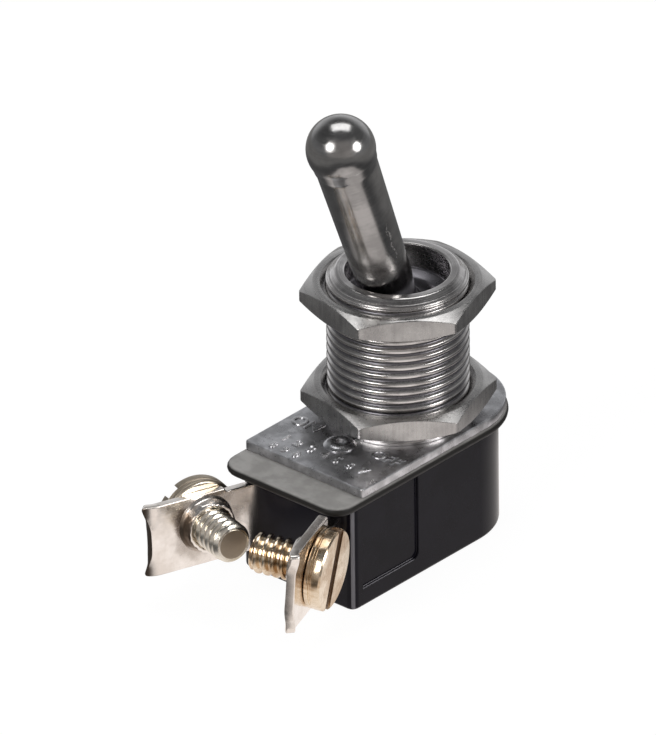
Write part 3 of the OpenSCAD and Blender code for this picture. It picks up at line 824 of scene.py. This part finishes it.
lever_profile = [(0, -0.8), (1.15, -0.8), (1.15, -5.4), (0.8, -5.4), (0.8, -5.75), (0.9, -5.8),
                 (1.5, -5.8), (1.6, -5.7), (1.6, -2.9), (1.72, -2.6)]
lever_profile += ball_arc(BALL_R, 0, 38, 133, 26)
lever_profile += [(2.18, 2.3), (2.2, 2.8), (2.26, 3.8), (2.36, 4.8), (2.61, 17.75),
                  (2.615, 17.95), (2.63, 18.1), (2.66, 18.25), (2.71, 18.42)]
lever_profile += ball_arc(TIP_R, TIP_DIST, 71, 180, 34)
lever_profile[-1] = (0, TIP_DIST + TIP_R)
finish_piece("bat_lever", [turned(lever_profile, 96)], lever_nickel, "lever", ["lever"],
             sharp=40, place=lever_place)


# %% [markdown]
# ## The terminals
# Each terminal is a nickel plated strip that comes out of the housing, bends outwards and
# widens into a tab. The tab's end corners are turned up as ears, and a collar is drawn
# inwards for the screw. The two tabs are not twins: the right one is wider and sits a
# little higher. Each is drawn flat as a filled curve with a rounded edge, cut into narrow
# bands where it bends, and then every point is carried round the bends.

# %% Draw the flat tab
STRIP_T, STRIP_X, BEND_Y = 0.8, 4.5, 13.5
STRIP_LOW, STRIP_TOP = BASE_Z + 2.7, BASE_Z + 8.7
TAB_MID, TAB_LEN, NECK_LEN, SCREW_Y = BASE_Z + 6.1375, 9.4, 2.35, 4.4
EAR_LEN, HOLLOW = 0.6, 0.45
TAB_END = TAB_LEN + EAR_LEN
SIDES = {"left": {"low": BASE_Z + 2.7, "top": BASE_Z + 9.0, "screw": BASE_Z + 6.3},
         "right": {"low": BASE_Z + 3.0, "top": BASE_Z + 10.45, "screw": BASE_Z + 6.6}}


def flat_tab(low, high, screw_z):
    """The tab in its own plane: u along the tab, v up, and t through the sheet."""
    middle = (low + high) / 2
    corners = [(-2.6, low, 0), (-2.6, STRIP_TOP, 0), (NECK_LEN, STRIP_TOP, 0.15),
               (NECK_LEN + 0.15, high, 0.25), (TAB_END, high, 0.45)]
    corners += [(TAB_END - HOLLOW * (1 - abs(t) ** 2.6), middle + t * (high - middle), 0.3)
                for t in (0.72, 0.5, 0.25, 0, -0.25, -0.5, -0.72)]
    corners += [(TAB_END, low, 0.5)]
    rim = soften(corners, 0.2, 5, closed=True)
    hole = [(SCREW_Y + 1.8 * cos(a), screw_z + 1.8 * sin(a))
            for a in np.linspace(0, 2 * pi, 48, endpoint=False)]
    curve = bpy.data.curves.new("tab", "CURVE")
    curve.dimensions, curve.fill_mode = "2D", "BOTH"
    curve.bevel_depth, curve.bevel_resolution = 0.09, 2
    curve.extrude, curve.offset = STRIP_T / 2 - 0.09, -0.09
    for line in (rim, hole):
        spline = curve.splines.new("POLY")
        spline.points.add(len(line) - 1)
        for point, (u, v) in zip(spline.points, line):
            point.co = (u, v, 0, 1)
        spline.use_cyclic_u = True
    work = bmesh.new()
    work.from_mesh(used_up(placed("tab", curve)))
    bmesh.ops.remove_doubles(work, verts=work.verts, dist=1e-4)
    cuts = [((u, 0, 0), (1, 0, 0)) for u in
            list(np.linspace(-0.5, 0.5, 9)) + list(np.linspace(TAB_LEN - 0.9, TAB_END, 12))]
    cuts += [((0, v, 0), (0, 1, 0)) for v in
             list(np.linspace(low, low + 2.4, 9)) + list(np.linspace(high - 2.4, high, 9))]
    for point, normal in cuts:
        geometry = work.verts[:] + work.edges[:] + work.faces[:]
        bmesh.ops.bisect_plane(work, geom=geometry, dist=1e-5, plane_co=point, plane_no=normal)
    points = [tuple(v.co) for v in work.verts]
    work.verts.index_update()
    faces = [[v.index for v in f.verts] for f in work.faces]
    work.free()
    return points, faces


# %% Carry the tab round its bends
def smooth_step(value, low, high):
    t = min(max((value - low) / (high - low), 0.0), 1.0)
    return t * t * (3 - 2 * t)


def bend_path(u, angle, start, end):
    """How far a point at u has gone along the strip and sideways, and the way it faces."""
    if u <= start or abs(angle) < 1e-4:
        return u, 0.0, 0.0
    radius = (end - start) / angle
    a = angle * (min(u, end) - start) / (end - start)
    along, side = start + radius * sin(a), radius * (1 - cos(a))
    if u > end:
        along += (u - end) * cos(angle)
        side += (u - end) * sin(angle)
    return along, side, a


SPLAY, LEAN, EAR_ANGLE = radians(20), radians(4), radians(40)


def on_tab(u, v, t, low, high):
    """Where a point of the flat tab lies on a terminal of the right-hand side."""
    half = (high - low) / 2
    share = smooth_step(abs(v - (low + high) / 2), half - 2.2, half - 0.6)
    along, side, a = bend_path(u, EAR_ANGLE * share, TAB_LEN - 0.7, TAB_END - 0.1)
    u, t = along - t * sin(a), side + t * cos(a)
    along, side, a = bend_path(u, SPLAY, -0.5, 0.5)
    lean = LEAN * smooth_step(u, -0.5, 0.5)
    across = t * cos(lean) + (v - TAB_MID) * sin(lean)
    up = TAB_MID - t * sin(lean) + (v - TAB_MID) * cos(lean)
    return (STRIP_X + side + across * cos(a), -BEND_Y - along + across * sin(a), up)


tabs = {}
for side, at in SIDES.items():
    tab_points, tab_faces = flat_tab(at["low"], at["top"], at["screw"])
    tabs[side] = ([on_tab(*p, at["low"], at["top"]) for p in tab_points], tab_faces)
    print("flat tab,", side, len(tab_faces), "faces")


# %% [markdown]
# The collar is a short drawn tube with a soft root, on the inner side of the tab. It is
# placed by the same turn and lean as the tab, so this placing matrix is shared with the
# screws.

# %% Add the collars and set both terminals
tab_place = (Matrix.Translation((STRIP_X * MM, -BEND_Y * MM, 0))
             @ Matrix.Rotation(SPLAY, 4, "Z") @ Matrix.Translation((0, 0, TAB_MID * MM))
             @ Matrix.Rotation(LEAN, 4, "Y") @ Matrix.Translation((0, 0, -TAB_MID * MM)))
mirror = Matrix.Scale(-1, 4, (1, 0, 0))
right_place, left_place = [
    tab_place @ Matrix.Translation((0, -SCREW_Y * MM, SIDES[side]["screw"] * MM))
    @ Matrix.Rotation(pi / 2, 4, "Y") for side in ("right", "left")]
left_place = mirror @ left_place @ Matrix.Scale(-1, 4, (0, 1, 0))
PLACES = {"right": right_place, "left": left_place}


def plating_stain_and_painted_light(bare_and_shade_share):
    """Brown on the plating round the collar, in the screw's own coordinates: partly a stain,
    partly a painted reflection of the brass head. The sheared end edge is darkened, partly
    bare metal and partly painted shade, as strong as the given share."""
    def stain(vector):
        x, y, z = separate(vector)
        wander = minus(noise(vector, 520.0), 0.5)
        edge = plus(radius_of(x, y), times(wander, 3.2 * MM))
        mask = times(ramp(edge, 3.4 * MM, 2.4 * MM), ramp(z, -0.7 * MM, -0.45 * MM), 0.45)
        bare = times(ramp(normal_of(vector)[1], -0.62, -0.8), bare_and_shade_share)
        return calc("MAXIMUM", mask, bare), (0.23, 0.18, 0.14), 0.1
    return stain


# The tab's nickel carries a painted reflection of the brass head round the collar, and painted
# shade on the sheared end.
bright_nickel = {side: finish("bright nickel " + side, (0.84, 0.78, 0.72), (1.0, 0.95, 0.90),
                              1.0, 0.22, across=2500, along=500, place=PLACES[side],
                              fine_bump=1.6, tone=0.3, blotch=300,
                              stain=plating_stain_and_painted_light(0.3 if side == "right" else 1.0))
                 for side in SIDES}
collar = soften([(1.8, -0.3, 0), (2.6, -0.3, 0), (2.5, -0.42, 0.05), (2.28, -0.62, 0.15),
                 (2.22, -1.4, 0.12), (2.1, -1.56, 0.06), (1.9, -1.56, 0.06),
                 (1.8, -1.45, 0.05)], 0.05, closed=True)


def dimpled(point):
    """A drawn collar is not quite round: its wall carries small dents from the punch."""
    x, y, z = point
    a, depth = atan2(y, x), min(max((-z - 0.5) / 0.5, 0), 1)
    grow = 1 + depth * (0.014 * sin(7 * a + 5 * z) + 0.012 * sin(23 * a) * sin(9 * z))
    return x * grow, y * grow, z


def bar(low, high):
    """A plain block for the strip inside the housing."""
    (x0, y0, z0), (x1, y1, z1) = low, high
    ring = [(x0, y0), (x1, y0), (x1, y1), (x0, y1)]
    return skin([level(ring, z0), level(ring, z1)])


inner_x = (STRIP_X - STRIP_T / 2, STRIP_X + STRIP_T / 2)
inside = {
    "right": [bar((inner_x[0], -11.0, STRIP_LOW), (inner_x[1], 1.5, STRIP_TOP)),
              bar((inner_x[0], -1.5, BASE_Z + 1.4), (inner_x[1], 1.5, STRIP_LOW)),
              bar((-1.3, -1.5, BASE_Z + 1.4), (inner_x[1], 1.5, BASE_Z + 2.2))],
    "left": [bar((inner_x[0], -11.0, STRIP_LOW), (inner_x[1], -3.0, STRIP_TOP)),
             bar((-0.8, -5.4, BASE_Z + 3.35), (inner_x[1], -3.0, BASE_Z + 4.05))]}
for side, flip in (("right", Matrix()), ("left", mirror)):
    ring_points, ring_faces = turned(collar, 96)
    ring_points = [tuple((flip @ PLACES[side] @ (Vector(dimpled(p)) * MM)) / MM)
                   for p in ring_points]
    finish_piece("tab_terminal_" + side, [tabs[side], (ring_points, ring_faces)] + inside[side],
                 bright_nickel[side], "case", ["terminal_" + side], sharp=35,
                 place=flip)


# %% [markdown]
# ## The terminal screws
# Each screw is a turned brass blank with a wide cheese head, a milled slot and a thread.
# The head is a lathe shape with the slot cut away by a boolean, and the thread comes from
# the same node tree as the bushing's. A screw stops wherever it is tight, so the two slots
# point different ways.

# %% Make the screws
HEAD_R, HEAD_H, SCREW_R, SCREW_LEN, SLOT_W, SLOT_D = 3.5, 1.5, 1.75, 5.6, 1.15, 0.8
seat = STRIP_T / 2 + 0.02
top, tip = seat + HEAD_H, seat - SCREW_LEN
blank = soften([(0, tip, 0), (1.3, tip, 0.05), (1.4, tip + 0.12, 0.05), (1.4, seat - 0.3, 0.03),
                (1.7, seat, 0.05), (HEAD_R - 0.2, seat, 0.08), (HEAD_R - 0.02, seat + 0.15, 0.06),
                (HEAD_R - 0.02, seat + 0.44, 0.03), (HEAD_R - 0.14, seat + 0.5, 0.03),
                (HEAD_R - 0.14, seat + 0.58, 0.03), (HEAD_R, seat + 0.66, 0.05),
                (HEAD_R, top - 0.14, 0.03), (HEAD_R - 0.14, top, 0), (0, top, 0)], 0.05)


def slotted_head(degrees):
    """The screw's blank with a slot turned from upright by so many degrees."""
    c, s = cos(radians(degrees)), sin(radians(degrees))
    box = [(x * c - y * s, x * s + y * c) for x, y in
           ((-5, -SLOT_W / 2), (5, -SLOT_W / 2), (5, SLOT_W / 2), (-5, SLOT_W / 2))]
    return cut_away([turned(blank, 96)],
                    [skin([level(box, top - SLOT_D), level(box, top + 1)])], bevel=0.04)


def slot_shade_and_bare_tip(vector):
    """Painted shade low in the slot, dark brown, and bare brown metal on the flat tip."""
    x, y, z = separate(vector)
    radius = radius_of(x, y)
    slot_shade = times(ramp(z, (top - 0.12) * MM, (top - 0.2) * MM),
                    ramp(z, (seat + 0.6) * MM, (seat + 0.7) * MM),
                    ramp(radius, 3.42 * MM, 3.36 * MM))
    on_tip = times(ramp(z, (tip + 0.08) * MM, (tip + 0.03) * MM),
                   ramp(radius, 1.32 * MM, 1.2 * MM))
    return calc("MAXIMUM", slot_shade, on_tip), (0.42, 0.33, 0.26), 0.25


def dull_head(vector):
    """The same painted slot shade and bare tip, and a head that has gone dull all over."""
    mask, colour, rough = slot_shade_and_bare_tip(vector)
    x, y, z = separate(vector)
    head = times(ramp(z, seat * MM, (seat + 0.1) * MM), 0.85)
    return calc("MAXIMUM", mask, head), (0.38, 0.32, 0.25), rough


# Both screws carry painted shade low in the slot.
METALS = {"right": ("gilt brass", (0.52, 0.37, 0.23), (0.88, 0.76, 0.60)),
          "left": ("worn plated brass", (0.58, 0.52, 0.41), (0.90, 0.85, 0.76))}
for side, turn in (("right", -20), ("left", -38)):
    name, dark, light = METALS[side]
    metal = finish(name, dark, light, 1.0, 0.2, across=3500, along=260, place=PLACES[side],
                   line_bump=0.8, tone=0.35,
                   stain=dull_head if side == "left" else slot_shade_and_bare_tip)
    screw_thread = grown(thread, metal, Radius=SCREW_R, Pitch=PITCH, Depth=0.38,
                         Low=tip + 0.02, High=seat - 0.45, Lead=0.3,
                         **{"Inner radius": 1.25, "Sides": 64, "Steps": 14, "Turns": 8})
    finish_piece("terminal_screw_" + side, [slotted_head(turn), screw_thread], metal,
                 "screw_" + side, ["screw_" + side], sharp=35, place=PLACES[side])


# %% [markdown]
# ## Pieces that stay as they are
# The mechanism inside is hidden by the housing and the bushing. Its solids already have
# the right shape, so they only get a plain metal finish.

# %% Finish the hidden pieces
HIDDEN = {"pivot_pin": plain_steel, "lever_spring": plain_steel, "plunger": plain_brass,
          "rocker": contact_bronze, "moving_contact": contact_silver, "cradle": plain_brass,
          "fixed_contact": contact_silver}
for node, material in HIDDEN.items():
    mesh = frame["nodes"][node].data
    mesh.materials.clear()
    mesh.materials.append(material)
print("hidden pieces:", len(HIDDEN))

# %% [markdown]
# ## Marks
# A switch plate is stamped with generic words and numbers that tell its positions. Text
# is drawn as a curve with a little thickness, made a mesh, and laid on the plate. Its
# steel is paler than the plate's, a painted highlight on the raised strokes.

# %% Stamp the marks
def mark(name, words, size, x, y, turn=0.0):
    curve = bpy.data.curves.new(name, "FONT")
    curve.body, curve.size = words, size * MM
    curve.align_x, curve.align_y = "CENTER", "CENTER"
    curve.extrude, curve.bevel_depth, curve.offset = 0.05 * MM, 0.04 * MM, 0.01 * MM
    mesh = used_up(placed(name, curve))
    place = (Matrix.Translation((x * MM, y * MM, PLATE_TOP * MM))
             @ Matrix.Rotation(radians(turn), 4, "Z"))
    return finish_piece(name, [mesh], mark_steel_painted_highlight, "case", place=place)


for name, words, size, x, y, turn in (
        ("stamped_on", "ON", 1.9, -4.4, -6.6, 0), ("stamped_off", "OFF", 1.75, 4.45, -6.6, 0),
        ("stamped_row_one", "1  2  3  4  5  6  7", 1.35, 0.1, -9.5, 0),
        ("stamped_row_two", "8  9  0", 1.2, -2.9, -11.0, 0)):
    mark(name, words, size, x, y, turn)

# %% [markdown]
# ## Camera
# A long lens, about forty degrees to the right of the front and thirty above, sees the
# terminals, the plate and the lever together, and keeps the switch's sides parallel.

# %% Set the camera
AZIMUTH, ELEVATION, ROLL = radians(41.897), radians(29.356), radians(-0.684)
DISTANCE, SCALE, LONG_SIDE, SENSOR = 2246.5, 12.044, 735, 36
SHIFT_RIGHT, SHIFT_UP = 71.089 / SCALE, 74.935 / SCALE
back = Vector((sin(AZIMUTH) * cos(ELEVATION), -cos(AZIMUTH) * cos(ELEVATION), sin(ELEVATION)))
level_right = Vector((cos(AZIMUTH), sin(AZIMUTH), 0))
level_up = back.cross(level_right)
right = level_right * cos(ROLL) + level_up * sin(ROLL)
up = level_up * cos(ROLL) - level_right * sin(ROLL)
aim = Vector((0, 0, -6.055)) - right * SHIFT_RIGHT + up * SHIFT_UP
camera = placed("camera", bpy.data.cameras.new("camera"))
camera.data.sensor_width = SENSOR
camera.data.lens = DISTANCE * SCALE * SENSOR / LONG_SIDE
camera.data.clip_start, camera.data.clip_end = 0.1, 10
camera.matrix_world = (Matrix.Translation((aim + back * DISTANCE) * MM)
                       @ Matrix((right, up, back)).transposed().to_4x4())
bpy.context.scene.camera = camera
print("lens:", round(camera.data.lens), "mm")

# %% [markdown]
# ## Light
# Polished metal shows its surroundings, so the room matters as much as the lamps. Two soft
# boxes stand to the left and right of the camera and one hangs overhead. The world is
# white to the camera, and to the metal it is a studio: a warm pale wall behind the camera,
# darker towards the sides, and a pale sweep behind the switch.

# %% Hang the lamps
LAMP_DISTANCE = 0.6


def soft_box(name, azimuth, elevation, width, height, power, tint, shape="ELLIPSE"):
    """An area lamp that looks at the switch. Azimuth is measured from the camera's own."""
    a, e = AZIMUTH + radians(azimuth), radians(elevation)
    way = Vector((sin(a) * cos(e), -cos(a) * cos(e), sin(e)))
    lamp = bpy.data.lights.new(name, "AREA")
    lamp.shape, lamp.size, lamp.size_y = shape, width, height
    lamp.energy, lamp.color = power, tint
    holder = placed(name, lamp)
    holder.location = way * LAMP_DISTANCE
    holder.rotation_mode = "QUATERNION"
    holder.rotation_quaternion = way.to_track_quat("Z", "Y")
    return holder


soft_box("left_box", -42, 30, 0.27, 0.27, 1.35, (1, 0.985, 0.97))
soft_box("right_box", 60, 24, 0.27, 0.27, 1.25, (1, 0.985, 0.97))
soft_box("top_box", 180, 74, 0.50, 0.30, 1.1, (1, 1, 1), "RECTANGLE")


# %% Paint the room
def mixed(share, first, second):
    """The output of a shader that is first where share is 0 and second where it is 1."""
    mix = beside([share], "ShaderNodeMixShader")
    for socket, value in zip(mix.inputs, (share, first, second)):
        link_or_set(value, socket)
    return mix.outputs[0]


def studio_world():
    world = bpy.data.worlds.new("studio")
    bpy.context.scene.world = world
    world.use_nodes = True
    tree = world.node_tree
    tree.nodes.clear()
    way = tree.nodes.new("ShaderNodeTexCoord").outputs["Generated"]
    rise = separate(way)["Z"]
    facing = tree.nodes.new("ShaderNodeVectorMath")
    facing.operation = "DOT_PRODUCT"
    tree.links.new(way, facing.inputs[0])
    facing.inputs[1].default_value = (sin(AZIMUTH), -cos(AZIMUTH), 0)
    square = minus(1.0, calc("POWER", rise, 2.0))
    level_length = calc("SQRT", calc("MAXIMUM", square, 0.001))
    toward = calc("DIVIDE", facing.outputs["Value"], level_length)
    wall = ramp(toward, cos(radians(55)), cos(radians(30)))
    behind = ramp(toward, -0.45, -0.9)
    low = ramp(rise, 0.75, 0.2)
    wall = times(wall, ramp(rise, 0.9, 0.7))
    sides = times(ramp(rise, 0.55, 0.1), 0.16)
    light = plus(plus(times(wall, 0.20), 0.12), sides)
    light = plus(light, times(behind, low, 0.55))
    tint = blend(wall, (0.97, 0.98, 1.0), (1.0, 0.95, 0.92))
    room = new_node(tree, "ShaderNodeBackground", Color=tint, Strength=light)
    white = new_node(tree, "ShaderNodeBackground", Color=(1, 1, 1, 1))
    seen = tree.nodes.new("ShaderNodeLightPath").outputs["Is Camera Ray"]
    surface = mixed(seen, room.outputs[0], white.outputs[0])
    new_node(tree, "ShaderNodeOutputWorld", Surface=surface)


studio_world()

# %% [markdown]
# The floor is a large pale sheet under the switch. The camera sees it white with only a
# faint shadow. The metal sees it glow with a painted pool of light in front, where the lamps
# would meet, and with painted shade falling off to grey at the sides: that contrast is what
# makes the round pieces read as polished.

# %% Lay the floor
POOL_AZIMUTH, REACH = radians(52), 1.5


def painted_light_pool(tree):
    """The sheet as reflections see it: a painted pool of light, a painted dark rim, grey far
    away.
    """
    x, y, z = separate(tree.nodes.new("ShaderNodeTexCoord").outputs["Object"])
    toward = (sin(POOL_AZIMUTH), -cos(POOL_AZIMUTH))
    ahead = plus(times(x, toward[0]), times(y, toward[1]))
    aside = minus(times(x, toward[1]), times(y, toward[0]))
    ahead = calc("DIVIDE", minus(ahead, 22 * MM), 37 * MM)
    aside = calc("DIVIDE", plus(aside, 2 * MM), 23 * MM)
    square = [times(side, side) for side in (ahead, aside)]
    away = calc("SQRT", radius_of(*square))
    ground = blend(ramp(away, 1.7, 3.4), (0.12, 0.12, 0.122), (0.30, 0.295, 0.29))
    return blend(ramp(away, 1.2, 0.86), ground, (0.93, 0.88, 0.855))


def floor_material():
    material = bpy.data.materials.new("pale floor")
    material.use_nodes = True
    tree = material.node_tree
    paper = tree.nodes["Principled BSDF"]
    paper.inputs["Base Color"].default_value = (0.8, 0.8, 0.8, 1)
    paper.inputs["Roughness"].default_value = 0.9
    paper.inputs["Specular IOR Level"].default_value = 0.0
    glow = new_node(tree, "ShaderNodeEmission", Color=(1, 1, 1, 1), Strength=1.06)
    # Glossy and transmission rays see a painted pool of light: an emission, not lamp light.
    painted_pool_glow = new_node(tree, "ShaderNodeEmission", Color=painted_light_pool(tree))
    paths = tree.nodes.new("ShaderNodeLightPath").outputs
    glossy = calc("MAXIMUM", paths["Is Glossy Ray"], paths["Is Transmission Ray"])
    seen = mixed(times(paths["Is Camera Ray"], 0.9), paper.outputs[0], glow.outputs[0])
    tree.links.new(mixed(glossy, seen, painted_pool_glow.outputs[0]),
                   tree.nodes["Material Output"].inputs["Surface"])
    return material


floor_mesh = bpy.data.meshes.new("floor")
corners = ((-REACH, -REACH), (REACH, -REACH), (REACH, REACH), (-REACH, REACH))
floor_mesh.from_pydata([(x, y, BASE_Z * MM) for x, y in corners], [], [(0, 1, 2, 3)])
floor_mesh.materials.append(floor_material())
floor = placed("floor", floor_mesh)


# %% Set the view
bpy.context.scene.view_settings.view_transform = "Standard"
